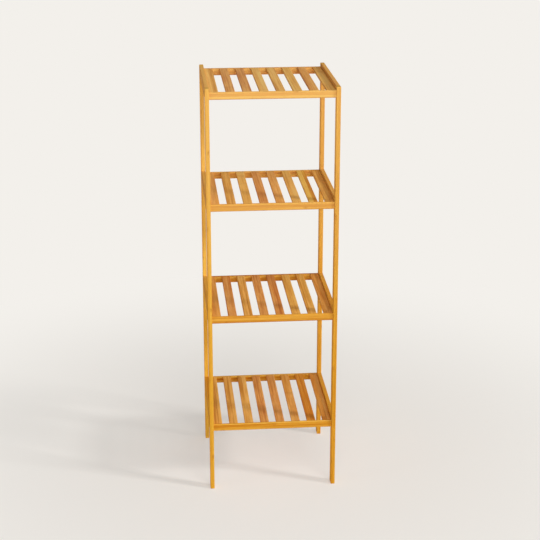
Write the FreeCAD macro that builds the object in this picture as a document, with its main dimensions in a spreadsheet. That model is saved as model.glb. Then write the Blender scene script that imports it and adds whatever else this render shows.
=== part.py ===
import FreeCAD, Part
import os
import Sketcher

# Four-tier slatted bamboo shelf for a bathroom.
# Two side frames like ladders stand left and right, each of two posts joined by four dowelled side rails.
# Between them hang four shelves. A shelf is a front rail and a rear rail, screwed through the posts at
# their ends, and a row of slats whose stub tenons sit in mortises in the rails.
# Millimetres. The origin is on the floor at the middle of the footprint, +Z is up, the front faces -Y.

Vector = FreeCAD.Vector
Placement = FreeCAD.Placement
Rotation = FreeCAD.Rotation

# Driving sizes: name, value, meaning
SIZES = (
    ("overall_width", 340.0, "outside of the left posts to outside of the right posts"),
    ("overall_depth", 340.0, "front of the front posts to back of the rear posts"),
    ("overall_height", 1100.0, "floor to the tops of the posts and of the top side rails"),
    ("post_width", 11.0, "post, left to right; the side rails are as thick"),
    ("post_depth", 25.0, "post, front to back"),
    ("post_edge_radius", 1.5, "rounding of every edge of a post"),
    ("shelf_1_height", 189.0, "floor to the top of the lowest shelf's rails"),
    ("shelf_2_height", 497.5, "floor to the top of the second shelf's rails"),
    ("shelf_3_height", 802.0, "floor to the top of the third shelf's rails"),
    ("rim_rise", 7.0, "side rail above the shelf rails, lower three shelves"),
    ("top_rim_rise", 9.5, "side rails and posts above the top shelf's rails"),
    ("side_rail_height", 26.0, "side rail, top to bottom"),
    ("side_rail_edge_radius", 1.5, "rounding of a side rail's long edges"),
    ("rail_height", 19.0, "front and rear rail, top to bottom"),
    ("rail_thickness", 8.0, "front and rear rail, front to back"),
    ("rail_setback", 4.5, "outer face of a post to outer face of a front or rear rail"),
    ("rail_edge_radius", 2.5, "rounding of a front or rear rail's long edges"),
    ("slat_count", 8, "slats in one shelf"),
    ("slat_width", 23.0, "slat, left to right"),
    ("slat_thickness", 6.0, "slat, top to bottom"),
    ("slat_edge_radius", 1.5, "rounding of a slat's long edges"),
    ("slat_drop", 0.3, "top of the rails to top of the slats"),
    ("slat_side_gap", 0.5, "outermost slat to side rail"),
    ("tenon_width", 19.0, "stub tenon, left to right"),
    ("tenon_thickness", 4.0, "stub tenon, top to bottom"),
    ("tenon_length", 4.0, "stub tenon, shoulder to end"),
    ("tenon_clearance", 0.1, "room round a tenon in its mortise, on each side"),
    ("mortise_end_gap", 0.3, "room past the end of a tenon"),
    ("dowel_diameter", 6.0, "dowel between side rail and post"),
    ("dowel_edge_distance", 6.0, "dowel axis to the nearer edge of its side rail"),
    ("dowel_rail_depth", 14.0, "dowel's reach into a side rail"),
    ("dowel_wall", 2.0, "wood left in a post between a dowel hole and the screw hole"),
    ("dowel_clearance", 0.05, "glue film round a dowel"),
    ("dowel_end_gap", 0.5, "room past each end of a dowel"),
    ("dowel_chamfer", 0.8, "chamfer on both ends of a dowel"),
    ("screw_rise", 6.0, "underside of a rail to the axis of its screws"),
    ("screw_length", 45.0, "screw, face of the head to tip"),
    ("screw_head_diameter", 8.0, "countersunk head"),
    ("screw_shank_diameter", 4.0, "plain shank under the head"),
    ("screw_core_diameter", 3.0, "threaded core in the rail"),
    ("screw_tip_length", 4.0, "pointed end"),
    ("screw_head_recess", 0.3, "head below the face of the post"),
    ("screw_clearance", 0.1, "room round a screw in its holes, on each side"),
    ("pilot_end_gap", 0.5, "room past the tip of a screw"),
    ("socket_width", 2.5, "hexagon socket across its flats"),
    ("socket_depth", 1.6, "hexagon socket"),
)
COUNTERSINK_ANGLE = 90
HEXAGON_SIDES = 6
PARALLEL_ANGLE = 0.01
START_SIZE = 2.0

doc = FreeCAD.newDocument("bathroom_shelf")
dims = doc.addObject("Spreadsheet::Sheet", "dims")
for row, (size_name, size_value, meaning) in enumerate(SIZES, start=1):
    dims.set(f"A{row}", meaning)
    dims.set(f"B{row}", str(size_value))
    dims.setAlias(f"B{row}", size_name)
doc.recompute()

# Places and lengths that follow from the driving sizes, as expressions on the sheet
CLEAR_WIDTH = "(dims.overall_width - 2 * dims.post_width)"
CLEAR_DEPTH = "(dims.overall_depth - 2 * dims.post_depth)"
POST_X = "(dims.overall_width - dims.post_width) / 2"
POST_Y = "(dims.overall_depth - dims.post_depth) / 2"
RAIL_AXIS = "(dims.rail_setback + dims.rail_thickness / 2)"
RAIL_Y = f"(dims.overall_depth / 2 - {RAIL_AXIS})"
SLAT_LENGTH = "(dims.overall_depth - 2 * (dims.rail_setback + dims.rail_thickness))"
SLAT_PITCH = f"(({CLEAR_WIDTH} - 2 * dims.slat_side_gap - dims.slat_width) / (dims.slat_count - 1))"
FIRST_SLAT_X = f"(-{SLAT_PITCH} * (dims.slat_count - 1) / 2)"
SLAT_AXIS_DROP = "(dims.slat_drop + dims.slat_thickness / 2)"
TENON_AXIS_DROP = "(dims.slat_drop + dims.slat_thickness - dims.tenon_thickness / 2)"
SCREW_HOLE = "(dims.screw_shank_diameter + 2 * dims.screw_clearance)"
DOWEL_HOLE = "(dims.dowel_diameter + 2 * dims.dowel_clearance)"
DOWEL_POST_DEPTH = f"(dims.post_depth - {RAIL_AXIS} - {SCREW_HOLE} / 2 - dims.dowel_wall)"
DOWEL_LENGTH = f"({DOWEL_POST_DEPTH} + dims.dowel_rail_depth - 2 * dims.dowel_end_gap)"
HEAD_HEIGHT = "((dims.screw_head_diameter - dims.screw_shank_diameter) / 2)"

# Heights of each shelf's rails, side rails, screws and dowels, lowest shelf first
TOP_SHELF_HEIGHT = "(dims.overall_height - dims.top_rim_rise)"
RAIL_TOPS = ["dims.shelf_1_height", "dims.shelf_2_height", "dims.shelf_3_height", TOP_SHELF_HEIGHT]
SIDE_RAIL_BOTTOMS = [f"({top} + dims.rim_rise - dims.side_rail_height)" for top in RAIL_TOPS[:-1]]
SIDE_RAIL_BOTTOMS.append("(dims.overall_height - dims.side_rail_height)")
RAIL_BOTTOMS = [f"({top} - dims.rail_height)" for top in RAIL_TOPS]
SCREW_HEIGHTS = [f"({bottom} + dims.screw_rise)" for bottom in RAIL_BOTTOMS]
DOWEL_RISES = ["dims.dowel_edge_distance", "(dims.side_rail_height - dims.dowel_edge_distance)"]
DOWEL_HEIGHTS = [f"({bottom} + {rise})" for bottom in SIDE_RAIL_BOTTOMS for rise in DOWEL_RISES]

LEFT, RIGHT = -1, 1
FRONT, REAR = -1, 1
SIDE_NAMES = {LEFT: "left", RIGHT: "right"}
END_NAMES = {FRONT: "front", REAR: "rear"}
HALF_TURN = Rotation(Vector(0, 0, 1), 180)
NO_TURN = Rotation()
sub_parts = []


def bind(thing, **expressions):
    """Tie properties to expressions; a double underscore in a keyword stands for a dot."""
    for path, expression in expressions.items():
        thing.setExpression(path.replace("__", "."), expression)


def origin_feature(body, role):
    """A plane or axis of the body's own origin."""
    return next(feature for feature in body.Origin.OriginFeatures if feature.Role == role)


def new_body(name):
    """An empty body, labelled as its node."""
    body = doc.addObject("PartDesign::Body", name)
    body.Label = name
    return body


def seat(thing, x, y, z, turn=NO_TURN):
    """Put a piece at its place in the shelf, and keep it as a sub-part."""
    thing.Placement = Placement(Vector(), turn)
    bind(thing, Placement__Base__x=x, Placement__Base__y=y, Placement__Base__z=z)
    sub_parts.append(thing)


def new_sketch(body, name, role, across="0", up="0", out="0"):
    """An empty sketch parallel to an origin plane, its own origin moved across, up and out of it."""
    sketch = body.newObject("Sketcher::SketchObject", f"{body.Name}_{name}")
    sketch.AttachmentSupport = [(origin_feature(body, role), "")]
    sketch.MapMode = "FlatFace"
    bind(sketch, AttachmentOffset__Base__x=across, AttachmentOffset__Base__y=up,
         AttachmentOffset__Base__z=out)
    return sketch


def rectangle(sketch, width, height):
    """A rectangle centred on the sketch's origin."""
    corners = [Vector(-1, -1), Vector(1, -1), Vector(1, 1), Vector(-1, 1)]
    for start, end in zip(corners, corners[1:] + corners[:1]):
        sketch.addGeometry(Part.LineSegment(start, end), False)
    for line in range(len(corners)):
        sketch.addConstraint(Sketcher.Constraint("Coincident", line, 2, (line + 1) % len(corners), 1))
    for line, direction in enumerate(("Horizontal", "Vertical", "Horizontal", "Vertical")):
        sketch.addConstraint(Sketcher.Constraint(direction, line))
    sketch.addConstraint(Sketcher.Constraint("Symmetric", 0, 1, 1, 2, -1, 1))
    width_row = sketch.addConstraint(Sketcher.Constraint("Distance", 0, START_SIZE))
    height_row = sketch.addConstraint(Sketcher.Constraint("Distance", 1, START_SIZE))
    sketch.setExpression(f"Constraints[{width_row}]", width)
    sketch.setExpression(f"Constraints[{height_row}]", height)


def circles_up_the_axis(sketch, diameter, heights):
    """Circles of one diameter, centred on the sketch's upright axis at the given heights."""
    for height in heights:
        circle = sketch.addGeometry(Part.Circle(Vector(0, 1), Vector(0, 0, 1), START_SIZE / 2), False)
        sketch.addConstraint(Sketcher.Constraint("PointOnObject", circle, 3, -2))
        height_row = sketch.addConstraint(Sketcher.Constraint("DistanceY", -1, 1, circle, 3, START_SIZE))
        diameter_row = sketch.addConstraint(Sketcher.Constraint("Diameter", circle, START_SIZE))
        sketch.setExpression(f"Constraints[{height_row}]", height)
        sketch.setExpression(f"Constraints[{diameter_row}]", diameter)


def pad(body, name, sketch, length, both_ways=True):
    """Material along the sketch's normal, both ways from it or one way."""
    feature = body.newObject("PartDesign::Pad", f"{body.Name}_{name}")
    feature.Profile = sketch
    feature.SideType = "Symmetric" if both_ways else "One side"
    feature.setExpression("Length", length)
    return feature


def pocket(body, name, sketch, depth, along_normal):
    """A blind cut from the sketch's plane, along its normal or against it."""
    feature = body.newObject("PartDesign::Pocket", f"{body.Name}_{name}")
    feature.Profile = sketch
    feature.Type = "Length"
    feature.Reversed = along_normal
    feature.setExpression("Length", depth)
    return feature


def round_edges(body, base, radius, direction=None):
    """A fillet on every edge of a feature, or only on those that run along a direction."""
    doc.recompute()
    feature = body.newObject("PartDesign::Fillet", f"{body.Name}_rounding")
    names = []
    for index, edge in enumerate(base.Shape.Edges, start=1):
        run = edge.tangentAt(edge.FirstParameter)
        if direction is None or run.isParallel(direction, PARALLEL_ANGLE):
            names.append(f"Edge{index}")
    feature.Base = (base, names)
    feature.setExpression("Radius", radius)
    return feature


def mirrored(body, original, role):
    """The same cut again on the other side of an origin plane."""
    feature = body.newObject("PartDesign::Mirrored", f"{original.Name}_mirrored")
    feature.Originals = [original]
    feature.MirrorPlane = (origin_feature(body, role), [""])
    body.Tip = feature


def make_post(side, end):
    """A post, with blind dowel holes for four side rails and countersunk through holes for four screws.

    Its own origin is under its middle. The dowel holes open to +Y and the screw heads to the outside,
    so a rear post is a front post of the other hand, turned half round.
    """
    body = new_body(f"{END_NAMES[end]}_{SIDE_NAMES[side]}_post")
    section = new_sketch(body, "section", "XY_Plane")
    rectangle(section, "dims.post_width", "dims.post_depth")
    bar = pad(body, "bar", section, "dims.overall_height", both_ways=False)
    round_edges(body, bar, "dims.post_edge_radius")

    dowel_holes = new_sketch(body, "dowel_marks", "XZ_Plane", out="-dims.post_depth / 2")
    circles_up_the_axis(dowel_holes, DOWEL_HOLE, DOWEL_HEIGHTS)
    pocket(body, "dowel_holes", dowel_holes, DOWEL_POST_DEPTH, along_normal=True)

    outward = side if end == FRONT else -side
    screw_marks = new_sketch(body, "screw_marks", "YZ_Plane", across=f"{RAIL_AXIS} - dims.post_depth / 2",
                             out=f"{outward} * dims.post_width / 2")
    circles_up_the_axis(screw_marks, SCREW_HOLE, SCREW_HEIGHTS)
    doc.recompute()
    screw_holes = body.newObject("PartDesign::Hole", f"{body.Name}_screw_holes")
    screw_holes.Profile = screw_marks
    screw_holes.Reversed = outward < 0
    screw_holes.DepthType = "ThroughAll"
    screw_holes.HoleCutType = "Countersink"
    screw_holes.HoleCutCustomValues = True
    screw_holes.HoleCutCountersinkAngle = COUNTERSINK_ANGLE
    countersink = "dims.screw_head_diameter + 2 * (dims.screw_head_recess + dims.screw_clearance)"
    bind(screw_holes, Diameter=SCREW_HOLE, HoleCutDiameter=countersink)
    seat(body, f"{side} * {POST_X}", f"{end} * {POST_Y}", "0", NO_TURN if end == FRONT else HALF_TURN)


def make_side_rail(side, shelf):
    """A side rail between two posts, with dowel holes in both end faces. Its origin is under its middle."""
    body = new_body(f"shelf_{shelf + 1}_{SIDE_NAMES[side]}_rail")
    section = new_sketch(body, "section", "XZ_Plane", up="dims.side_rail_height / 2")
    rectangle(section, "dims.post_width", "dims.side_rail_height")
    bar = pad(body, "bar", section, CLEAR_DEPTH)
    round_edges(body, bar, "dims.side_rail_edge_radius", Vector(0, 1, 0))

    dowel_holes = new_sketch(body, "dowel_marks", "XZ_Plane", out=f"{CLEAR_DEPTH} / 2")
    circles_up_the_axis(dowel_holes, DOWEL_HOLE, DOWEL_RISES)
    holes = pocket(body, "dowel_holes", dowel_holes, "dims.dowel_rail_depth", along_normal=False)
    mirrored(body, holes, "XZ_Plane")
    seat(body, f"{side} * {POST_X}", "0", SIDE_RAIL_BOTTOMS[shelf])


def make_shelf_rail(end, shelf):
    """A front or rear rail, with a mortise for each slat and a pilot hole in each end.

    Its origin is under its middle and the mortises open to +Y, so a rear rail is turned half round.
    """
    body = new_body(f"shelf_{shelf + 1}_{END_NAMES[end]}_rail")
    section = new_sketch(body, "section", "YZ_Plane", up="dims.rail_height / 2")
    rectangle(section, "dims.rail_thickness", "dims.rail_height")
    bar = pad(body, "bar", section, CLEAR_WIDTH)
    round_edges(body, bar, "dims.rail_edge_radius", Vector(1, 0, 0))

    pilot_mark = new_sketch(body, "pilot_mark", "YZ_Plane", out=f"{CLEAR_WIDTH} / 2")
    pilot_diameter = "dims.screw_core_diameter + 2 * dims.screw_clearance"
    circles_up_the_axis(pilot_mark, pilot_diameter, ["dims.screw_rise"])
    pilot_depth = "dims.screw_length + dims.screw_head_recess - dims.post_width + dims.pilot_end_gap"
    pilot = pocket(body, "pilot", pilot_mark, pilot_depth, along_normal=False)
    mirrored(body, pilot, "YZ_Plane")

    mortise_mark = new_sketch(body, "mortise_mark", "XZ_Plane", across=FIRST_SLAT_X,
                              up=f"dims.rail_height - {TENON_AXIS_DROP}", out="-dims.rail_thickness / 2")
    rectangle(mortise_mark, "dims.tenon_width + 2 * dims.tenon_clearance",
              "dims.tenon_thickness + 2 * dims.tenon_clearance")
    mortise = pocket(body, "mortise", mortise_mark, "dims.tenon_length + dims.mortise_end_gap",
                     along_normal=True)
    mortises = body.newObject("PartDesign::LinearPattern", f"{body.Name}_mortises")
    mortises.Originals = [mortise]
    mortises.Direction = (origin_feature(body, "X_Axis"), [""])
    bind(mortises, Length=f"{SLAT_PITCH} * (dims.slat_count - 1)", Occurrences="dims.slat_count")
    body.Tip = mortises
    seat(body, "0", f"{end} * {RAIL_Y}", RAIL_BOTTOMS[shelf], NO_TURN if end == FRONT else HALF_TURN)


def make_slat(shelf, place):
    """A slat with a stub tenon on each end, flush with its underside. Its origin is at its middle."""
    body = new_body(f"shelf_{shelf + 1}_slat_{place + 1}")
    section = new_sketch(body, "section", "XZ_Plane")
    rectangle(section, "dims.slat_width", "dims.slat_thickness")
    bar = pad(body, "bar", section, SLAT_LENGTH)
    round_edges(body, bar, "dims.slat_edge_radius", Vector(0, 1, 0))

    tenon_section = new_sketch(body, "tenon_section", "XZ_Plane", up=f"{SLAT_AXIS_DROP} - {TENON_AXIS_DROP}")
    rectangle(tenon_section, "dims.tenon_width", "dims.tenon_thickness")
    pad(body, "tenons", tenon_section, f"{SLAT_LENGTH} + 2 * dims.tenon_length")
    seat(body, f"{FIRST_SLAT_X} + {place} * {SLAT_PITCH}", "0", f"{RAIL_TOPS[shelf]} - {SLAT_AXIS_DROP}")


def make_dowel():
    """The dowel that every side-rail joint uses. It lies along Y, its origin at its middle."""
    body = new_body("dowel")
    section = new_sketch(body, "section", "XZ_Plane")
    circle = section.addGeometry(Part.Circle(Vector(), Vector(0, 0, 1), START_SIZE / 2), False)
    section.addConstraint(Sketcher.Constraint("Coincident", circle, 3, -1, 1))
    diameter_row = section.addConstraint(Sketcher.Constraint("Diameter", circle, START_SIZE))
    section.setExpression(f"Constraints[{diameter_row}]", "dims.dowel_diameter")
    bar = pad(body, "bar", section, DOWEL_LENGTH)
    doc.recompute()
    ends = body.newObject("PartDesign::Chamfer", "dowel_ends")
    rims = [f"Edge{index}" for index, edge in enumerate(bar.Shape.Edges, start=1) if edge.isClosed()]
    ends.Base = (bar, rims)
    ends.setExpression("Size", "dims.dowel_chamfer")
    return body


def make_screw():
    """The screw that every rail end uses: head, shank, core and point along +Z, the head's face at zero."""
    body = new_body("screw")
    core_end = "dims.screw_length - dims.screw_tip_length"
    shank_end = "dims.post_width - dims.screw_head_recess"

    head = body.newObject("PartDesign::AdditiveCone", "screw_head")
    bind(head, Radius1="dims.screw_head_diameter / 2", Radius2="dims.screw_shank_diameter / 2",
         Height=HEAD_HEIGHT)
    shank = body.newObject("PartDesign::AdditiveCylinder", "screw_shank")
    bind(shank, Radius="dims.screw_shank_diameter / 2", Height=f"{shank_end} - {HEAD_HEIGHT}",
         Placement__Base__z=HEAD_HEIGHT)
    core = body.newObject("PartDesign::AdditiveCylinder", "screw_core")
    bind(core, Radius="dims.screw_core_diameter / 2", Height=f"{core_end} - ({shank_end})",
         Placement__Base__z=shank_end)
    tip = body.newObject("PartDesign::AdditiveCone", "screw_tip")
    tip.Radius2 = 0
    bind(tip, Radius1="dims.screw_core_diameter / 2", Height="dims.screw_tip_length",
         Placement__Base__z=core_end)
    socket = body.newObject("PartDesign::SubtractivePrism", "screw_socket")
    socket.Polygon = HEXAGON_SIDES
    bind(socket, Circumradius="dims.socket_width / sqrt(3)", Height="dims.socket_depth")
    return body


def copy_at(original, x, y, z, turn=NO_TURN):
    """One more of a small piece, at its place in the shelf."""
    copy = doc.addObject("App::Link", f"{original.Name}_copy")
    copy.LinkedObject = original
    copy.Placement = Placement(Vector(), turn)
    bind(copy, Placement__Base__x=x, Placement__Base__y=y, Placement__Base__z=z)
    return copy


def make_group(name, pieces):
    """Small identical pieces kept together as one sub-part of separate solids."""
    group = doc.addObject("Part::Compound", name)
    group.Label = name
    group.Links = pieces
    sub_parts.append(group)


def make_dowels(dowel, side):
    """The dowels of one side frame, two at each end of each side rail."""
    middle = f"({CLEAR_DEPTH} + {DOWEL_POST_DEPTH} - dims.dowel_rail_depth) / 2"
    places = [(end, height) for end in (FRONT, REAR) for height in DOWEL_HEIGHTS]
    copies = [copy_at(dowel, f"{side} * {POST_X}", f"{end} * {middle}", height) for end, height in places]
    make_group(f"{SIDE_NAMES[side]}_frame_dowels", copies)


def make_screws(screw, shelf):
    """The four screws of one shelf, heads just below the outer faces of the posts."""
    copies = []
    for side in (LEFT, RIGHT):
        inward = Rotation(Vector(0, 0, 1), Vector(-side, 0, 0))
        for end in (FRONT, REAR):
            copies.append(copy_at(screw, f"{side} * (dims.overall_width / 2 - dims.screw_head_recess)",
                                  f"{end} * {RAIL_Y}", SCREW_HEIGHTS[shelf], inward))
    make_group(f"shelf_{shelf + 1}_screws", copies)


for side in (LEFT, RIGHT):
    for end in (FRONT, REAR):
        make_post(side, end)
for shelf in range(len(RAIL_TOPS)):
    for side in (LEFT, RIGHT):
        make_side_rail(side, shelf)
    for end in (FRONT, REAR):
        make_shelf_rail(end, shelf)
    for place in range(int(dims.slat_count)):
        make_slat(shelf, place)
dowel = make_dowel()
screw = make_screw()
for side in (LEFT, RIGHT):
    make_dowels(dowel, side)
for shelf in range(len(RAIL_TOPS)):
    make_screws(screw, shelf)
doc.recompute()

# Nothing is written unless every feature worked, every cut removed wood and every shape is sound
for thing in doc.Objects:
    if "Invalid" in thing.State or "Error" in thing.State:
        raise RuntimeError(f"{thing.Label} failed: {thing.State}")
    if thing.TypeId in ("PartDesign::Pocket", "PartDesign::Hole"):
        if thing.BaseFeature.Shape.Volume <= thing.Shape.Volume:
            raise RuntimeError(f"{thing.Label} cut nothing")
for sub_part in sub_parts:
    if sub_part.Shape.isNull() or not sub_part.Shape.isValid():
        raise RuntimeError(f"{sub_part.Label} has no sound shape")

os.makedirs("parts", exist_ok=True)
for sub_part in sub_parts:
    sub_part.Shape.exportStep(f"parts/{sub_part.Label}.step")
print(f"{len(sub_parts)} sub-parts written")
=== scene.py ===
"""Looks of a four-tier slatted bamboo shelf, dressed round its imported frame.

The frame's bars, slats, dowels and screws keep their own shapes and places. Each gets a finish that is
worked out from Object coordinates. They stand on a pale floor under soft light, seen by one camera.
Metres throughout. The origin is on the floor under the middle of the shelf, +Z is up, the front faces -Y.
"""

from __future__ import annotations

import logging
import math
from dataclasses import dataclass
from enum import Enum
from functools import cache
from typing import Sequence, Union

import bpy
import numpy as np
from mathutils import Color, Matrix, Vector


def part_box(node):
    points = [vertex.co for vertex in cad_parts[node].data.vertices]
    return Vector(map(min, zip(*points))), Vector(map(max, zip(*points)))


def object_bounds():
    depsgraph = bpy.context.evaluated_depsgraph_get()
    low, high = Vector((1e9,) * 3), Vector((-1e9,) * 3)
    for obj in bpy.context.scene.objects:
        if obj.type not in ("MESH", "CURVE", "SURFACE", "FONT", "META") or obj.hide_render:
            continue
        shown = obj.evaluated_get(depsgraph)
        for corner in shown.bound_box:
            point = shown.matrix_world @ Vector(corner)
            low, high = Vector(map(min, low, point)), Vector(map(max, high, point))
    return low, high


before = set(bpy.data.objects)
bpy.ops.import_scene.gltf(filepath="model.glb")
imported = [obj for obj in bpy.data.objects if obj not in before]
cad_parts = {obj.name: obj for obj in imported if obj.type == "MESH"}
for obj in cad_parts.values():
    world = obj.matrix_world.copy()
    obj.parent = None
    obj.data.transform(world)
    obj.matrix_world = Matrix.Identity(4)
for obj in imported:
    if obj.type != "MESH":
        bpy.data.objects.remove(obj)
CAD_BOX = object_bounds()
FULL_CHANNEL = 255
HALF = 0.5

log = logging.getLogger("bathroom_shelf")

Colour = tuple[float, float, float]
Size = tuple[float, float, float]
Socket = bpy.types.NodeSocket
Feed = Union[Socket, float, Sequence[float]]


def srgb(red: int, green: int, blue: int) -> Colour:
    """Turn a colour as it is seen on a screen, 0 to 255, into the linear light that shaders take.

    Args:
        red: Red, 0 to 255.
        green: Green, 0 to 255.
        blue: Blue, 0 to 255.

    Returns:
        The three linear values, 0 to 1.
    """
    seen = Color((red / FULL_CHANNEL, green / FULL_CHANNEL, blue / FULL_CHANNEL))
    return tuple(seen.from_srgb_to_scene_linear())


class Lay(Enum):
    """How a kind of bar lies: the axes along its fibres, across its broad face and through it."""

    POST = "ZYX"
    SIDE_RAIL = "YZX"
    SHELF_RAIL = "XZY"
    SLAT = "YXZ"


class Side(Enum):
    """The two ladder-like side frames."""

    LEFT = "left"
    RIGHT = "right"


class End(Enum):
    """The two ends of a side frame, and the two long sides of a shelf."""

    FRONT = "front"
    REAR = "rear"


@dataclass(frozen=True)
class Tint:
    """Colours of one kind of bamboo.

    Attributes:
        dark: Colour of its dark fibres.
        middle: Colour of most of it.
        light: Colour of its light fibres.
        blush: How much of it has a reddish blush, 0 to 1.
    """

    dark: Colour
    middle: Colour
    light: Colour
    blush: float = 0.0


class Tone(Enum):
    """Tints that the bamboo of one piece may have."""

    # PALE is a lighter copy of HONEY for the left rear post: partly its own tint, partly painted light on
    # that post
    PALE = Tint(srgb(228, 160, 48), srgb(252, 200, 78), srgb(255, 215, 108))
    HONEY = Tint(srgb(209, 143, 37), srgb(232, 180, 63), srgb(241, 199, 93))
    STRAW = Tint(srgb(202, 130, 32), srgb(228, 168, 58), srgb(240, 194, 90))
    APRICOT = Tint(srgb(201, 122, 28), srgb(227, 160, 51), srgb(238, 186, 82), 0.25)
    # BRONZE is a darker copy of STRAW for the rear rails: partly their own tint, partly painted shade of
    # the rear rail
    BRONZE = Tint(srgb(187, 113, 26), srgb(208, 147, 45), srgb(220, 171, 74))
    GOLDEN = Tint(srgb(207, 138, 54), srgb(237, 180, 86), srgb(245, 200, 112), 0.2)
    OLIVE = Tint(srgb(205, 138, 57), srgb(240, 181, 91), srgb(247, 202, 117), 0.15)
    TAN = Tint(srgb(199, 121, 48), srgb(230, 163, 77), srgb(243, 187, 104), 0.35)
    ROSE = Tint(srgb(190, 110, 49), srgb(222, 152, 77), srgb(236, 178, 103), 0.5)
    RUSSET = Tint(srgb(199, 122, 59), srgb(237, 174, 94), srgb(247, 196, 117), 0.5)
    COPPER = Tint(srgb(207, 126, 42), srgb(232, 164, 66), srgb(241, 189, 96), 0.4)


class Graph:
    """A node tree, with a short method for each kind of node that the finishes use."""

    MIX_FACTOR, MIX_FIRST, MIX_SECOND, MIX_RESULT = 0, 6, 7, 2
    NOISE_DETAIL, NOISE_ROUGHNESS = 2.0, 0.55

    def __init__(self, tree: bpy.types.NodeTree) -> None:
        """Start from an empty tree."""
        self.tree = tree
        tree.nodes.clear()

    def feed(self, socket: Socket, value: Feed) -> None:
        """Link a socket to another one, or set it to a plain number or colour.

        Args:
            socket: The input to feed.
            value: Another node's output, a number, or the numbers of a vector or colour.
        """
        if isinstance(value, Socket):
            self.tree.links.new(value, socket)
        elif isinstance(value, (int, float)):
            socket.default_value = value
        else:
            socket.default_value = (*value, 1.0) if len(socket.default_value) > len(value) else tuple(value)

    def add(self, kind: str, inputs: dict[Union[str, int], Feed], **settings: object) -> bpy.types.Node:
        """Add a node, set its options and feed its inputs.

        Args:
            kind: The node's type.
            inputs: What each input is fed, by the input's name or number.
            settings: The node's own options.

        Returns:
            The new node.
        """
        node = self.tree.nodes.new(kind)
        for option, value in settings.items():
            setattr(node, option, value)
        for key, value in inputs.items():
            self.feed(node.inputs[key], value)
        return node

    def sums(self, operation: str, *values: Feed) -> Socket:
        """One step of arithmetic on one, two or three numbers."""
        return self.add("ShaderNodeMath", dict(enumerate(values)), operation=operation).outputs[0]

    def vectors(self, operation: str, *values: Feed) -> Socket:
        """One step of arithmetic on vectors."""
        return self.add("ShaderNodeVectorMath", dict(enumerate(values)), operation=operation).outputs[0]

    def scaled(self, vector: Feed, factor: float) -> Socket:
        """A vector made so many times longer."""
        return self.vectors("MULTIPLY", vector, (factor,) * 3)

    def joined(self, x: Feed, y: Feed, z: Feed) -> Socket:
        """A vector put together from three numbers."""
        return self.add("ShaderNodeCombineXYZ", {0: x, 1: y, 2: z}).outputs[0]

    def parted(self, vector: Feed) -> dict[str, Socket]:
        """A vector taken apart, by the letter of each axis."""
        outputs = self.add("ShaderNodeSeparateXYZ", {0: vector}).outputs
        return {axis: outputs[axis] for axis in "XYZ"}

    def noise(self, vector: Feed) -> Socket:
        """Smooth noise between 0 and 1, one wave to a unit of the vector."""
        texture = {"Scale": 1.0, "Detail": self.NOISE_DETAIL, "Roughness": self.NOISE_ROUGHNESS}
        return self.add("ShaderNodeTexNoise", {"Vector": vector, **texture}).outputs["Fac"]

    def chance(self, vector: Feed) -> tuple[Socket, dict[str, Socket]]:
        """A random number for each different vector, and three more by the letter of an axis."""
        outputs = self.add("ShaderNodeTexWhiteNoise", {"Vector": vector}, noise_dimensions="3D").outputs
        return outputs["Value"], self.parted(outputs["Color"])

    def fade(self, value: Feed, start: float, end: float) -> Socket:
        """A smooth step from 0 at start to 1 at end; start may be the greater of the two."""
        inputs = {"Value": value, "From Min": start, "From Max": end}
        return self.add("ShaderNodeMapRange", inputs, interpolation_type="SMOOTHSTEP").outputs[0]

    def spread(self, value: Feed, low: float, high: float) -> Socket:
        """A number from 0 to 1 laid out between low and high."""
        return self.sums("MULTIPLY_ADD", value, high - low, low)

    def mixed(self, share: Feed, first: Feed, second: Feed) -> Socket:
        """Two colours mixed.

        Args:
            share: Share of the second colour, 0 to 1.
            first: The first colour.
            second: The second colour.

        Returns:
            The mixture.
        """
        inputs = {self.MIX_FACTOR: share, self.MIX_FIRST: first, self.MIX_SECOND: second}
        node = self.add("ShaderNodeMix", inputs, data_type="RGBA", clamp_factor=True)
        return node.outputs[self.MIX_RESULT]

    def washed(self, colour: Feed, share: Feed, depth: float, wash: Colour) -> Socket:
        """A colour with another laid over it.

        Args:
            colour: The colour below.
            share: Where the other colour lies, 0 to 1.
            depth: How much of it shows there.
            wash: The other colour.

        Returns:
            The two together.
        """
        return self.mixed(self.sums("MULTIPLY", share, depth), colour, wash)

    def ramp(self, value: Feed, stops: Sequence[tuple[float, Colour]]) -> Socket:
        """A colour read from a ramp.

        Args:
            value: Where to read it, 0 to 1.
            stops: Two or more places on the ramp, each with its colour.

        Returns:
            The colour there.
        """
        node = self.add("ShaderNodeValToRGB", {0: value})
        elements = node.color_ramp.elements
        while len(elements) < len(stops):
            elements.new(1.0)
        for element, (place, colour) in zip(elements, stops):
            element.position = place
            element.color = (*colour, 1.0)
        return node.outputs["Color"]

    def raised(self, height: Feed, depth: float, strength: float) -> Socket:
        """A surface normal tilted by a height from 0 to 1 that is a given depth in metres."""
        inputs = {"Height": height, "Distance": depth, "Strength": strength}
        return self.add("ShaderNodeBump", inputs).outputs["Normal"]

    def seen(self) -> Socket:
        """Whether a ray shows what it meets or only gathers its light.

        Returns:
            1 for a ray from the camera or from a glossy or clear surface, 0 for others.
        """
        path = self.add("ShaderNodeLightPath", {}).outputs
        mirrored = self.sums("MAXIMUM", path["Is Glossy Ray"], path["Is Transmission Ray"])
        return self.sums("MAXIMUM", path["Is Camera Ray"], mirrored)


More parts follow.
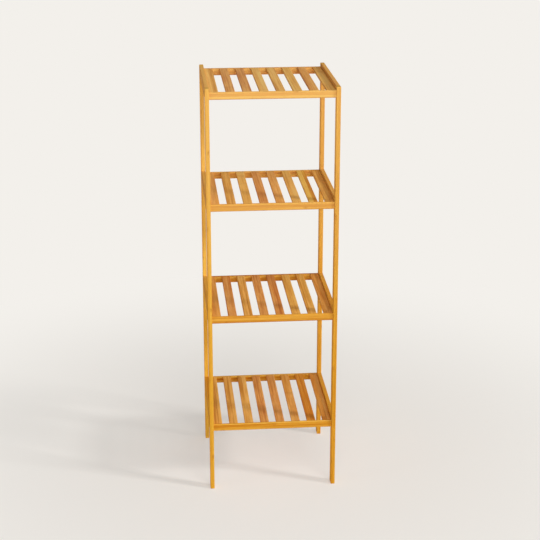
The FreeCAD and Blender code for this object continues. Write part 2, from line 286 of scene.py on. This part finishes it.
class Coat(Graph):
    """A material's node tree, which starts as a Principled shader on its output."""

    def __init__(self, name: str) -> None:
        """Start a material.

        Args:
            name: The material's name.
        """
        self.material = bpy.data.materials.new(name)
        self.material.use_nodes = True
        super().__init__(self.material.node_tree)
        self.output = self.add("ShaderNodeOutputMaterial", {})
        self.shader = self.add("ShaderNodeBsdfPrincipled", {})
        self.feed(self.output.inputs["Surface"], self.shader.outputs["BSDF"])

    def finished(self, inputs: dict[str, Feed]) -> bpy.types.Material:
        """Feed the shader and hand over the material.

        Args:
            inputs: What each of the shader's inputs is fed, by its name.

        Returns:
            The material.
        """
        for name, value in inputs.items():
            self.feed(self.shader.inputs[name], value)
        return self.material


@dataclass(frozen=True)
class Spot:
    """A point of a bar, as sockets of one node tree.

    Attributes:
        place: Its Object coordinates.
        ways: How far it lies along the fibres, across the broad face and through the thickness.
        facing: How squarely the surface there faces each of those ways, 0 to 1.
        bar: A random number for its bar.
        bar_more: Three more of those, by the letter of an axis.
        strip: A random number for its glued strip.
        strip_more: Three more of those, by the letter of an axis.
        strip_places: Its place counted in strips, across and through the bar.
    """

    place: Socket
    ways: list[Socket]
    facing: list[Socket]
    bar: Socket
    bar_more: dict[str, Socket]
    strip: Socket
    strip_more: dict[str, Socket]
    strip_places: list[Socket]


@dataclass(frozen=True)
class Ring:
    """The node ring nearest to a point of a bar, as sockets of one node tree.

    Attributes:
        smudge: How strong its dark smudge is at the point, 0 to 1.
        scar: How strong its scar is there, 0 to 1.
        section: A random number for the length of cane between this ring and the next.
    """

    smudge: Socket
    scar: Socket
    section: Socket


@dataclass(frozen=True)
class Grain:
    """How the fibres of bamboo show: waves to a metre along and across them, and what each kind counts.

    Attributes:
        drift_waves: Waves of the slow change of tint along a strip.
        streak_waves: Waves of broad streaks.
        fibre_waves: Waves of fine fibres.
        dash_waves: Waves of the short dark dashes of the cane's vessels.
        blush_waves: Waves of reddish patches.
        edge_waves: Waves of the patches of painted shade along rounded edges.
        bar_weight: How far whole bars differ in tint.
        strip_weight: How far strips differ.
        section_weight: How far lengths of cane between two rings differ.
        drift_weight: How far the drift moves the tint.
        streak_weight: How far streaks move it.
        fibre_weight: How far fibres move it.
    """

    drift_waves: tuple[float, float] = (5.0, 0.0)
    streak_waves: tuple[float, float] = (3.0, 260.0)
    fibre_waves: tuple[float, float] = (16.0, 1300.0)
    dash_waves: tuple[float, float] = (60.0, 1500.0)
    blush_waves: tuple[float, float] = (9.0, 45.0)
    edge_waves: tuple[float, float] = (30.0, 60.0)
    bar_weight: float = 0.25
    strip_weight: float = 0.3
    section_weight: float = 0.2
    drift_weight: float = 0.55
    streak_weight: float = 0.8
    fibre_weight: float = 0.5


@dataclass(frozen=True)
class Knots:
    """The node rings of the cane, which cross a strip as a thin scar in a dark smudge.

    Attributes:
        spacing: From one ring to the next along a strip.
        smudge: Half the length of the smudge.
        smudge_depth: How much of the smudge's colour shows at its darkest.
        scar: Half the width of the scar.
        scar_depth: How much of the scar's colour shows.
        scar_place: How far the scar lies from the smudge's middle, as a share of the smudge.
        wave: How far a ring strays from straight.
        ripples: Waves to a metre of that straying, across the strip and along it.
        shown: Random numbers of a strip from which its rings begin to show, and show fully.
        whole: Whether a ring runs on across all the strips of its bar.
    """

    spacing: float = 0.42
    smudge: float = 0.010
    smudge_depth: float = 0.35
    scar: float = 0.0011
    scar_depth: float = 0.25
    scar_place: float = 0.25
    wave: float = 0.004
    ripples: tuple[float, float] = (130.0, 25.0)
    shown: tuple[float, float] = (0.35, 0.85)
    whole: bool = False


@dataclass(frozen=True)
class LacqueredBamboo:
    """Laminated bamboo under a thin matt lacquer.

    Attributes:
        name: The material's name.
        lay: How the bars that take this finish lie.
        tint: Colours of the bamboo.
        cell: Sizes of the box of space that holds one bar, along X, Y and Z.
        layers: Width of a glued strip across the broad face, and its thickness.
        painted_light_depth: How much paler it is painted towards the top of the shelf: painted light that
            stands in for the brighter light up there.
        grain: How its fibres show.
        knots: Its node rings.
    """

    name: str
    lay: Lay
    tint: Tint
    cell: Size
    layers: tuple[float, float]
    # Painted light: how much paler the top of the shelf is painted
    painted_light_depth: float = 0.25
    grain: Grain = Grain()
    knots: Knots = Knots()

    # Colours of what is laid over the bamboo's own, and how much of each shows
    blush_colour: Colour = srgb(198, 116, 60)
    blush_depth: float = 0.9
    dash_colour: Colour = srgb(150, 84, 24)
    dash_depth: float = 0.3
    # Painted light: the pale colour laid over the top of the shelf
    painted_light_colour: Colour = srgb(250, 208, 150)
    scar_colour: Colour = srgb(120, 66, 24)
    smudge_colour: Colour = srgb(172, 94, 38)
    glue_colour: Colour = srgb(160, 92, 24)
    glue_depth: float = 0.3
    # Painted shade darkening the rounded edges
    edge_shade_colour: Colour = srgb(190, 112, 30)
    edge_shade_depth: tuple[float, float] = (0.05, 0.3)
    pore_colour: Colour = srgb(140, 84, 34)
    pore_depth: tuple[float, float] = (0.05, 0.35)

    # Where they lie, between the two values at which each begins and is full
    ramp_places: tuple[float, float, float] = (0.12, 0.5, 0.88)
    blush_range: tuple[float, float] = (0.42, 0.62)
    dash_range: tuple[float, float] = (0.58, 0.70)
    # Heights over which the painted light towards the top of the shelf grows
    painted_light_heights: tuple[float, float] = (0.30, 1.15)
    # Painted shade on rounded edges, and the patches it lies in
    edge_shade_range: tuple[float, float] = (0.1, 0.5)
    patch_range: tuple[float, float] = (0.4, 0.7)
    sawn_range: tuple[float, float] = (0.5, 0.9)
    pore_range: tuple[float, float] = (0.48, 0.62)
    pore_waves: float = 1500.0
    glue_line: float = 0.00022

    # The lacquer's surface
    lacquer_waves: float = 90.0
    roughness: tuple[float, float] = (0.50, 0.72)
    sawn_roughness: float = 1.2
    relief: float = 0.00012
    relief_strength: float = 0.35
    sunken: float = 0.5
    gloss: float = 0.02

    # Spread of the random starts of noises, so that no two strips share a stretch of one
    bar_starts: float = 91.0
    strip_starts: float = 40.0

    @cache
    def material(self) -> bpy.types.Material:
        """Build the finish as a node tree on Object coordinates, once for all pieces that share it.

        The tint of a point is a weighted sum of random numbers for its bar, its glued strip and its length
        of cane between two rings, a slow drift along the strip, broad streaks and fine fibres, read off a
        ramp from dark to light fibres. Blushes, dashes, painted light that pales it towards the top of the
        shelf, rings, glue lines, painted shade on rounded edges and sawn ends are laid over it in turn.

        Returns:
            The material.
        """
        coat = Coat(self.name)
        spot = self._spot(coat)
        ring = self._ring(coat, spot)
        glue = self._glue(coat, spot)
        sawn = coat.fade(spot.facing[0], *self.sawn_range)
        streaks = self._waves(coat, spot, self.grain.streak_waves)
        fibres = self._waves(coat, spot, self.grain.fibre_waves)

        colour = self._cane(coat, spot, ring, streaks, fibres)
        colour = coat.washed(colour, ring.smudge, self.knots.smudge_depth, self.smudge_colour)
        colour = coat.washed(colour, ring.scar, self.knots.scar_depth, self.scar_colour)
        colour = coat.washed(colour, glue, self.glue_depth, self.glue_colour)
        # Painted shade on rounded edges
        colour = coat.mixed(self._edge_shade(coat, spot), colour, self.edge_shade_colour)
        colour = coat.mixed(self._pores(coat, spot, sawn), colour, self.pore_colour)

        lacquer = coat.noise(coat.scaled(spot.place, self.lacquer_waves))
        dull = coat.sums("MULTIPLY", sawn, self.sawn_roughness)
        sheen = coat.sums("MAXIMUM", self._halves(coat, lacquer, fibres), dull)
        sunken = coat.sums("MULTIPLY", coat.sums("MAXIMUM", ring.scar, glue), self.sunken)
        height = coat.sums("SUBTRACT", self._halves(coat, fibres, streaks), sunken)
        return coat.finished({
            "Base Color": colour,
            "Roughness": coat.spread(sheen, *self.roughness),
            "Normal": coat.raised(height, self.relief, self.relief_strength),
            "Specular IOR Level": self.gloss,
        })

    def _cane(self, coat: Coat, spot: Spot, ring: Ring, streaks: Socket, fibres: Socket) -> Socket:
        """The bamboo's own colour, with painted light that pales it towards the top, before anything that
        crosses its grain.

        Args:
            coat: The finish's nodes.
            spot: The point.
            ring: The node ring nearest to it.
            streaks: Noise of the broad streaks there.
            fibres: Noise of the fine fibres there.

        Returns:
            The colour.
        """
        grain = self.grain
        drift = self._waves(coat, spot, grain.drift_waves)
        tint: Feed = self.ramp_places[1]
        for part, weight in ((spot.bar, grain.bar_weight), (spot.strip, grain.strip_weight),
                             (ring.section, grain.section_weight), (drift, grain.drift_weight),
                             (streaks, grain.streak_weight), (fibres, grain.fibre_weight)):
            tint = coat.sums("ADD", tint, coat.spread(part, -weight / 2, weight / 2))
        shades = (self.tint.dark, self.tint.middle, self.tint.light)
        colour = coat.ramp(tint, list(zip(self.ramp_places, shades)))

        blush = coat.fade(self._waves(coat, spot, grain.blush_waves), *self.blush_range)
        blush = coat.sums("MULTIPLY", blush, ring.section)
        colour = coat.washed(colour, blush, self.blush_depth * self.tint.blush, self.blush_colour)
        dashes = coat.fade(self._waves(coat, spot, grain.dash_waves), *self.dash_range)
        colour = coat.washed(colour, dashes, self.dash_depth, self.dash_colour)
        # Painted light: paler towards the top of the shelf
        painted_light = coat.fade(coat.parted(spot.place)["Z"], *self.painted_light_heights)
        return coat.washed(colour, painted_light, self.painted_light_depth, self.painted_light_colour)

    def _spot(self, coat: Coat) -> Spot:
        """Work out where a point lies in its bar, and the random numbers of its bar and strip.

        A bar is told from others by the box of space that holds it, and a strip by its number across and
        through the bar.

        Args:
            coat: The finish's nodes.

        Returns:
            The point.
        """
        outputs = coat.add("ShaderNodeTexCoord", {}).outputs
        place, axes = outputs["Object"], coat.parted(outputs["Object"])
        normal = coat.parted(outputs["Normal"])
        ways = [axes[axis] for axis in self.lay.value]
        facing = [coat.sums("ABSOLUTE", normal[axis]) for axis in self.lay.value]

        runs = [axis == self.lay.value[0] for axis in "XYZ"]
        cells = [0.0 if run else 1 / size for run, size in zip(runs, self.cell)]
        inside = [HALF if run else 0.0 for run in runs]
        box = coat.vectors("FLOOR", coat.vectors("MULTIPLY_ADD", place, cells, inside))
        bar, bar_more = coat.chance(box)
        strip_places = [coat.sums("ADD", coat.sums("DIVIDE", way, width), bar_more["X"])
                        for way, width in zip(ways[1:], self.layers)]
        numbers = [coat.sums("FLOOR", count) for count in strip_places]
        bar_start = coat.sums("MULTIPLY", bar, self.bar_starts)
        strip, strip_more = coat.chance(coat.joined(*numbers, bar_start))
        return Spot(place, ways, facing, bar, bar_more, strip, strip_more, strip_places)

    def _waves(self, coat: Coat, spot: Spot, waves: tuple[float, float]) -> Socket:
        """A noise with long waves along the fibres and short ones across them, other in each strip.

        Args:
            coat: The finish's nodes.
            spot: The point.
            waves: Waves to a metre along the fibres, and across them.

        Returns:
            The noise at the point, 0 to 1.
        """
        start = coat.sums("MULTIPLY", spot.strip, self.strip_starts)
        counts = (waves[0], waves[1], waves[1])
        places = (coat.sums("MULTIPLY_ADD", way, count, start) for way, count in zip(spot.ways, counts))
        return coat.noise(coat.joined(*places))

    @staticmethod
    def _halves(coat: Coat, first: Socket, second: Socket) -> Socket:
        """The mean of two numbers."""
        return coat.sums("MULTIPLY", coat.sums("ADD", first, second), HALF)

    def _ring(self, coat: Coat, spot: Spot) -> Ring:
        """The cane's node ring that is nearest to a point.

        The distance to it is the place along the strip, less the ring's own place, wrapped to one spacing
        and made wavy by a noise across the strip. The smudge fades out over that distance, and the scar is
        a thin line beside its middle.

        Args:
            coat: The finish's nodes.
            spot: The point.

        Returns:
            The ring.
        """
        knots = self.knots
        along, across, through = spot.ways
        draws = spot.bar_more if knots.whole else spot.strip_more
        turns = coat.sums("ADD", coat.sums("DIVIDE", along, knots.spacing), draws["Y"])
        ripple = coat.noise(coat.joined(coat.sums("MULTIPLY", across, knots.ripples[0]),
                                        coat.sums("MULTIPLY", through, knots.ripples[0]),
                                        coat.sums("MULTIPLY", along, knots.ripples[1])))
        stray = knots.wave / knots.spacing
        turns = coat.sums("ADD", turns, coat.spread(ripple, -stray, stray))
        off_ring = coat.sums("SUBTRACT", turns, coat.sums("ROUND", turns))
        off_ring = coat.sums("MULTIPLY", off_ring, knots.spacing)

        shown = coat.fade(draws["Z"], *knots.shown)
        smudge = coat.fade(coat.sums("ABSOLUTE", off_ring), knots.smudge, 0.0)
        off_scar = coat.sums("SUBTRACT", off_ring, knots.scar_place * knots.smudge)
        scar = coat.fade(coat.sums("ABSOLUTE", off_scar), knots.scar, 0.0)
        section, _ = coat.chance(coat.joined(coat.sums("FLOOR", turns),
                                             coat.sums("MULTIPLY", spot.bar, self.bar_starts),
                                             coat.sums("MULTIPLY", spot.strip, self.strip_starts)))
        return Ring(coat.sums("MULTIPLY", smudge, shown), coat.sums("MULTIPLY", scar, shown), section)

    def _glue(self, coat: Coat, spot: Spot) -> Socket:
        """How near a point is to a glue line.

        Args:
            coat: The finish's nodes.
            spot: The point.

        Returns:
            1 on a line between two strips, fading to 0 beside it.
        """
        lines = []
        for count, width in zip(spot.strip_places, self.layers):
            off_middle = coat.sums("ABSOLUTE", coat.sums("SUBTRACT", coat.sums("FRACT", count), HALF))
            lines.append(coat.fade(off_middle, HALF - self.glue_line / width, HALF))
        return coat.sums("MAXIMUM", *lines)

    def _edge_shade(self, coat: Coat, spot: Spot) -> Socket:
        """How much painted shade darkens the rounded edges, in patches.

        Args:
            coat: The finish's nodes.
            spot: The point.

        Returns:
            The share of the painted edge shade's colour.
        """
        rounding = coat.fade(coat.sums("MULTIPLY", *spot.facing[1:]), *self.edge_shade_range)
        patches = coat.fade(self._waves(coat, spot, self.grain.edge_waves), *self.patch_range)
        return coat.sums("MULTIPLY", rounding, coat.spread(patches, *self.edge_shade_depth))

    def _pores(self, coat: Coat, spot: Spot, sawn: Socket) -> Socket:
        """How dark the cut vessels are on sawn ends.

        Args:
            coat: The finish's nodes.
            spot: The point.
            sawn: 1 on an end, 0 elsewhere.

        Returns:
            The share of the pores' colour.
        """
        pores = coat.fade(coat.noise(coat.scaled(spot.place, self.pore_waves)), *self.pore_range)
        return coat.sums("MULTIPLY", sawn, coat.spread(pores, *self.pore_depth))


@dataclass(frozen=True)
class TurnedBeech:
    """Bare beech of the dowels: short fine flecks along Y on a pale pinkish wood.

    Attributes:
        name: The material's name.
        light: Colour between the flecks.
        dark: Colour of the flecks.
        waves: Waves to a metre along the dowel, and across it.
        roughness: Least and greatest roughness.
        relief: How deep the flecks are.
        relief_strength: How much they tilt the surface.
    """

    name: str = "turned_beech"
    light: Colour = srgb(222, 184, 140)
    dark: Colour = srgb(186, 138, 94)
    waves: tuple[float, float] = (60.0, 900.0)
    roughness: tuple[float, float] = (0.6, 0.8)
    relief: float = 0.0001
    relief_strength: float = 0.3

    def material(self) -> bpy.types.Material:
        """Build the finish: a noise stretched along the dowel mixes the two colours and the roughness.

        Returns:
            The material.
        """
        coat = Coat(self.name)
        place = coat.add("ShaderNodeTexCoord", {}).outputs["Object"]
        stretch = (self.waves[1], self.waves[0], self.waves[1])
        flecks = coat.noise(coat.vectors("MULTIPLY", place, stretch))
        return coat.finished({
            "Base Color": coat.mixed(flecks, self.dark, self.light),
            "Roughness": coat.spread(flecks, *self.roughness),
            "Normal": coat.raised(flecks, self.relief, self.relief_strength),
        })


@dataclass(frozen=True)
class PlatedSteel:
    """Zinc-plated steel of the screws, a little cloudy, with fine scratches from the driver.

    Attributes:
        name: The material's name.
        bright: Colour of the clean plating.
        dull: Colour of the cloudy patches.
        cloud_waves: Waves to a metre of the patches.
        scratch_waves: Waves to a metre of the scratches.
        roughness: Least and greatest roughness.
        relief: How deep the scratches are.
        relief_strength: How much they tilt the surface.
    """

    name: str = "plated_steel"
    bright: Colour = srgb(206, 205, 200)
    dull: Colour = srgb(150, 148, 142)
    cloud_waves: float = 700.0
    scratch_waves: float = 5000.0
    roughness: tuple[float, float] = (0.22, 0.5)
    relief: float = 0.00005
    relief_strength: float = 0.2

    def material(self) -> bpy.types.Material:
        """Build the finish: one noise clouds the colour and roughness, a finer one scratches the surface.

        Returns:
            The material.
        """
        coat = Coat(self.name)
        place = coat.add("ShaderNodeTexCoord", {}).outputs["Object"]
        clouds = coat.noise(coat.scaled(place, self.cloud_waves))
        scratches = coat.noise(coat.scaled(place, self.scratch_waves))
        return coat.finished({
            "Base Color": coat.mixed(clouds, self.dull, self.bright),
            "Roughness": coat.spread(clouds, *self.roughness),
            "Normal": coat.raised(scratches, self.relief, self.relief_strength),
            "Metallic": 1.0,
        })


def dress(node: str, material: bpy.types.Material) -> None:
    """Give every material slot of one of the frame's pieces a finish.

    Args:
        node: The piece's name.
        material: Its finish.
    """
    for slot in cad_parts[node].material_slots:
        slot.material = material
    log.info("%s: %s", node, material.name)


def gap_between(first: str, second: str, axis: int) -> float:
    """How far one of the frame's pieces lies from another like it, along an axis."""
    return abs(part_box(second)[0][axis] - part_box(first)[0][axis])


@dataclass(frozen=True)
class Cells:
    """Boxes of space, along X, Y and Z, that each hold one bar of a kind and so tell it from the next.

    Attributes:
        post: Box of a post.
        rail: Box of a rail.
        slat: Box of a slat.
    """

    post: Size
    rail: Size
    slat: Size

    @classmethod
    def measured(cls) -> Cells:
        """Measure the boxes on the frame.

        Returns:
            The boxes.
        """
        width, depth, height = (float(size) for size in CAD_BOX[1] - CAD_BOX[0])
        tier = gap_between("shelf_2_front_rail", "shelf_3_front_rail", 2)
        pitch = gap_between("shelf_1_slat_1", "shelf_1_slat_2", 0)
        return cls((width, depth, height), (width, depth, tier), (pitch, depth, tier))


@dataclass
class SideFrame:
    """One ladder of two posts and four side rails, dowelled together.

    Attributes:
        side: Which of the two it is.
        front_tone: The tint of its front post.
        rear_tone: The tint of its rear post.
        rail_tone: The tint of its side rails.
        post_layers: Width and thickness of the strips in a post.
        rail_layers: Width and thickness of the strips in a side rail.
        tiers: How many side rails it has.
    """

    side: Side
    front_tone: Tone
    rear_tone: Tone
    rail_tone: Tone = Tone.APRICOT
    post_layers: tuple[float, float] = (0.025, 0.0055)
    rail_layers: tuple[float, float] = (0.026, 0.0055)
    tiers: int = 4

    def posts(self) -> dict[str, Tone]:
        """Names of its posts, and their tints."""
        tones = {End.FRONT: self.front_tone, End.REAR: self.rear_tone}
        return {f"{end.value}_{self.side.value}_post": tone for end, tone in tones.items()}

    def rails(self) -> list[str]:
        """Names of its side rails, lowest first."""
        return [f"shelf_{tier}_{self.side.value}_rail" for tier in range(1, self.tiers + 1)]

    def dress(self, cells: Cells, dowel: bpy.types.Material) -> None:
        """Give its posts, rails and dowels their finishes.

        Args:
            cells: Boxes that tell its bars apart.
            dowel: The finish of the dowels.
        """
        rail = LacqueredBamboo(f"side_rail_bamboo_{self.rail_tone.name.lower()}", Lay.SIDE_RAIL,
                               self.rail_tone.value, cells.rail, self.rail_layers)
        for name, tone in self.posts().items():
            post = LacqueredBamboo(f"post_bamboo_{tone.name.lower()}", Lay.POST, tone.value, cells.post,
                                   self.post_layers)
            dress(name, post.material())
        for name in self.rails():
            dress(name, rail.material())
        dress(f"{self.side.value}_frame_dowels", dowel)


@dataclass
class Shelf:
    """One tier: a front rail, a rear rail, a row of slats and four screws.

    Attributes:
        tier: Its number, 1 for the lowest.
        tones: The tint of each slat, left to right.
        knots: Node rings of its slats.
        slat_grain: How the fibres of its slats show.
        slat_painted_light: How much painted light pales the highest slats.
        slat_strip: Width of the strips in a slat, which are as thick as it is.
        front_tone: The tint of its front rail.
        rear_tone: The tint of its rear rail, darker than the front rail's: partly its own tint, partly
            painted shade of the rear rail.
        rail_grain: How the fibres of its rails show.
        rail_painted_light: How much painted light pales the highest rails.
        rail_layers: Width and thickness of the strips in a rail.
    """

    tier: int
    tones: tuple[Tone, ...]
    knots: Knots = Knots(spacing=0.6, smudge=0.016, smudge_depth=0.2, scar_depth=0.06, wave=0.006,
                         whole=True)
    slat_grain: Grain = Grain(streak_waves=(5.0, 170.0), blush_waves=(14.0, 90.0), strip_weight=0.4,
                              section_weight=0.25, drift_weight=0.7, streak_weight=1.2, fibre_weight=0.7)
    # Painted light that pales the highest slats
    slat_painted_light: float = 0.12
    slat_strip: float = 0.0118
    front_tone: Tone = Tone.STRAW
    # Darker rear rails: partly painted shade
    rear_tone: Tone = Tone.BRONZE
    rail_grain: Grain = Grain(strip_weight=0.6, streak_weight=1.0)
    # Painted light that pales the highest rails
    rail_painted_light: float = 0.32
    rail_layers: tuple[float, float] = (0.0065, 0.008)

    def rails(self) -> dict[str, Tone]:
        """Names of its front and rear rails, and their tints."""
        tones = {End.FRONT: self.front_tone, End.REAR: self.rear_tone}
        return {f"shelf_{self.tier}_{end.value}_rail": tone for end, tone in tones.items()}

    def slats(self) -> list[str]:
        """Names of its slats, left to right."""
        return [f"shelf_{self.tier}_slat_{place}" for place in range(1, len(self.tones) + 1)]

    def slat_finish(self, tone: Tone, cells: Cells) -> LacqueredBamboo:
        """The finish of its slats of one tint, whose strips reach through the whole thickness.

        Args:
            tone: The tint.
            cells: Boxes that tell its bars apart.

        Returns:
            The finish.
        """
        layers = (self.slat_strip, cells.slat[2])
        return LacqueredBamboo(f"slat_bamboo_{tone.name.lower()}", Lay.SLAT, tone.value, cells.slat, layers,
                               self.slat_painted_light, self.slat_grain, self.knots)

    def dress(self, cells: Cells, screw: bpy.types.Material) -> None:
        """Give its rails, slats and screws their finishes.

        Args:
            cells: Boxes that tell its bars apart.
            screw: The finish of the screws.
        """
        for name, tone in self.rails().items():
            rail = LacqueredBamboo(f"shelf_rail_bamboo_{tone.name.lower()}", Lay.SHELF_RAIL, tone.value,
                                   cells.rail, self.rail_layers, self.rail_painted_light, self.rail_grain)
            dress(name, rail.material())
        for name, tone in zip(self.slats(), self.tones):
            dress(name, self.slat_finish(tone, cells).material())
        dress(f"shelf_{self.tier}_screws", screw)


@dataclass
class Lamp:
    """A soft box that looks at a point.

    Attributes:
        name: The lamp's name.
        turn: How far it stands to the right of the front, in degrees round the shelf.
        rise: How far it stands above the point, in degrees.
        distance: How far it is from the point.
        width: Length of its level sides.
        height: Length of its other two sides.
        level: How bright it alone makes a white surface there that faces it, where 1 is white.
        colour: The tint of its light.
    """

    name: str
    turn: float
    rise: float
    distance: float
    width: float
    height: float
    level: float
    colour: Colour = (1.0, 0.985, 0.97)

    def hang(self, target: Vector) -> None:
        """Make the lamp and turn it towards a point.

        A box of so many watts at distance d lights a facing surface to watts / (pi d) squared.

        Args:
            target: The point that it looks at.
        """
        turn, rise = math.radians(self.turn), math.radians(self.rise)
        way = Vector((math.sin(turn) * math.cos(rise), -math.cos(turn) * math.cos(rise), math.sin(rise)))
        light = bpy.data.lights.new(self.name, "AREA")
        light.shape = "RECTANGLE"
        light.size, light.size_y = self.width, self.height
        light.energy = self.level * (math.pi * self.distance) ** 2
        light.color = self.colour
        lamp = bpy.data.objects.new(self.name, light)
        bpy.context.scene.collection.objects.link(lamp)
        lamp.location = target + self.distance * way
        lamp.rotation_euler = (-way).to_track_quat("-Z", "Y").to_euler()
        lamp.visible_camera = False
        log.info("%s: hung", self.name)


@dataclass
class Studio:
    """A pale round floor, soft lamps, an even sky and the camera.

    Attributes:
        backdrop: Colour of the floor and of what is seen beyond it.
        floor_bounce: Colour of the light that the floor throws back on the shelf.
        floor_radius: How far the floor reaches.
        floor_rings: Rings of faces in the floor.
        floor_sides: Faces in each ring.
        floor_roughness: Roughness of the floor.
        floor_gloss: How much the floor shines.
        floor_glow: Share of the backdrop's colour near the shelf; the rest is the floor's own shading.
        near: Radius at which that share begins to grow.
        far: Radius past which it shows the backdrop's colour alone.
        sky_strength: Light that comes evenly from all round.
        lamps: The soft boxes.
        camera_place: Where the camera stands.
        camera_turn: How far it looks to the right of straight ahead, in degrees.
        camera_tilt: How far it looks down, in degrees.
        lens: Its focal length in millimetres.
        sensor: Width of its sensor in millimetres.
    """

    backdrop: Colour = srgb(243, 240, 235)
    floor_bounce: Colour = srgb(225, 200, 170)
    floor_radius: float = 30.0
    floor_rings: int = 24
    floor_sides: int = 64
    floor_roughness: float = 0.9
    floor_gloss: float = 0.1
    floor_glow: float = 0.45
    near: float = 0.3
    far: float = 1.6
    sky_strength: float = 0.17
    lamps: tuple[Lamp, ...] = (
        Lamp("window_box", turn=66.0, rise=27.0, distance=30.0, width=4.2, height=4.2, level=0.54),
        Lamp("front_box", turn=8.0, rise=40.0, distance=9.0, width=5.5, height=5.5, level=0.52),
        Lamp("left_box", turn=-65.0, rise=4.0, distance=6.0, width=1.6, height=1.6, level=0.22),
        Lamp("rear_box", turn=140.0, rise=-3.3, distance=5.0, width=1.6, height=0.5, level=0.35),
    )
    camera_place: tuple[float, float, float] = (-0.302, -3.504, 1.766)
    camera_turn: float = 5.04
    camera_tilt: float = 18.83
    lens: float = 91.2
    sensor: float = 36.0

    def build(self) -> None:
        """Lay the floor, light the sky and the lamps, and set up the camera."""
        self._lay_floor()
        self._light_sky()
        middle = (CAD_BOX[0] + CAD_BOX[1]) / 2
        for lamp in self.lamps:
            lamp.hang(middle)
        self._set_camera()
        bpy.context.scene.view_settings.view_transform = "Standard"

    def _lay_floor(self) -> None:
        """Make the floor, a disc round the origin.

        A point is x = r cos t, y = r sin t, z = 0. The turn t goes round in even steps, and the radius r
        grows as the square of its step, so that faces near the shelf are small.
        """
        radii = self.floor_radius * np.linspace(0, 1, self.floor_rings + 1)[1:] ** 2
        turns = np.linspace(0, 2 * np.pi, self.floor_sides, endpoint=False)
        grid = np.stack([np.outer(radii, np.cos(turns)), np.outer(radii, np.sin(turns))], axis=-1)
        rim = np.concatenate([grid, np.zeros((*grid.shape[:2], 1))], axis=-1).reshape(-1, 3)
        corners = np.concatenate([np.zeros((1, 3)), rim])

        side = np.arange(self.floor_sides)
        after = (side + 1) % self.floor_sides
        fan = np.stack([np.zeros_like(side), 1 + side, 1 + after], axis=-1)
        inner = 1 + self.floor_sides * np.arange(self.floor_rings - 1)[:, None]
        outer = inner + self.floor_sides
        quads = np.stack([inner + side, outer + side, outer + after, inner + after], axis=-1)

        mesh = bpy.data.meshes.new("floor")
        mesh.from_pydata(corners.tolist(), [], fan.tolist() + quads.reshape(-1, 4).tolist())
        floor = bpy.data.objects.new("floor", mesh)
        bpy.context.scene.collection.objects.link(floor)
        mesh.materials.append(self._floor_material())
        log.info("floor: laid")

    def _floor_material(self) -> bpy.types.Material:
        """A matt pale floor that takes shadows near the shelf and fades into the backdrop's colour.

        Returns:
            The material.
        """
        coat = Coat("pale_floor")
        seen = coat.seen()
        place = coat.add("ShaderNodeTexCoord", {}).outputs["Object"]
        distance = coat.add("ShaderNodeVectorMath", {0: place}, operation="LENGTH").outputs["Value"]
        glowing = coat.spread(coat.fade(distance, self.near, self.far), self.floor_glow, 1.0)
        glow = coat.add("ShaderNodeEmission", {"Color": self.backdrop, "Strength": 1.0})
        share = coat.sums("MULTIPLY", glowing, seen)
        shares = {0: share, 1: coat.shader.outputs["BSDF"], 2: glow.outputs["Emission"]}
        blend = coat.add("ShaderNodeMixShader", shares)
        coat.feed(coat.output.inputs["Surface"], blend.outputs["Shader"])
        return coat.finished({
            "Base Color": coat.mixed(seen, self.floor_bounce, self.backdrop),
            "Roughness": self.floor_roughness,
            "Specular IOR Level": self.floor_gloss,
        })

    def _light_sky(self) -> None:
        """Light the world evenly, and show the backdrop's colour where it is seen."""
        world = bpy.data.worlds.new("sky")
        bpy.context.scene.world = world
        world.use_nodes = True
        sky = Graph(world.node_tree)
        strength = sky.spread(sky.seen(), self.sky_strength, 1.0)
        background = sky.add("ShaderNodeBackground", {"Color": self.backdrop, "Strength": strength})
        sky.add("ShaderNodeOutputWorld", {"Surface": background.outputs["Background"]})

    def _set_camera(self) -> None:
        """Stand the camera in front, a little left of the middle, looking down."""
        data = bpy.data.cameras.new("camera")
        data.lens = self.lens
        data.sensor_width = self.sensor
        camera = bpy.data.objects.new("camera", data)
        bpy.context.scene.collection.objects.link(camera)
        camera.location = self.camera_place
        tilt, turn = math.radians(90 - self.camera_tilt), math.radians(-self.camera_turn)
        camera.rotation_euler = (tilt, 0.0, turn)
        bpy.context.scene.camera = camera


# The left rear post is PALE, lighter than the HONEY front posts: partly painted light on it
SIDE_FRAMES = (SideFrame(Side.LEFT, Tone.HONEY, Tone.PALE), SideFrame(Side.RIGHT, Tone.HONEY, Tone.STRAW))
SHELVES = (
    Shelf(1, (Tone.OLIVE, Tone.OLIVE, Tone.OLIVE, Tone.RUSSET,
              Tone.ROSE, Tone.TAN, Tone.COPPER, Tone.TAN)),
    Shelf(2, (Tone.TAN, Tone.ROSE, Tone.OLIVE, Tone.RUSSET,
              Tone.ROSE, Tone.GOLDEN, Tone.GOLDEN, Tone.TAN)),
    Shelf(3, (Tone.TAN, Tone.GOLDEN, Tone.GOLDEN, Tone.ROSE,
              Tone.TAN, Tone.GOLDEN, Tone.STRAW, Tone.GOLDEN)),
    Shelf(4, (Tone.GOLDEN, Tone.RUSSET, Tone.RUSSET, Tone.OLIVE,
              Tone.OLIVE, Tone.GOLDEN, Tone.TAN, Tone.GOLDEN)),
)


def main() -> None:
    """Dress the side frames and the shelves, and set them in the studio."""
    logging.basicConfig(level=logging.INFO, format="%(message)s")
    cells = Cells.measured()
    dowel, screw = TurnedBeech().material(), PlatedSteel().material()
    for side_frame in SIDE_FRAMES:
        side_frame.dress(cells, dowel)
    for shelf in SHELVES:
        shelf.dress(cells, screw)
    Studio().build()


if __name__ == "__main__":
    main()
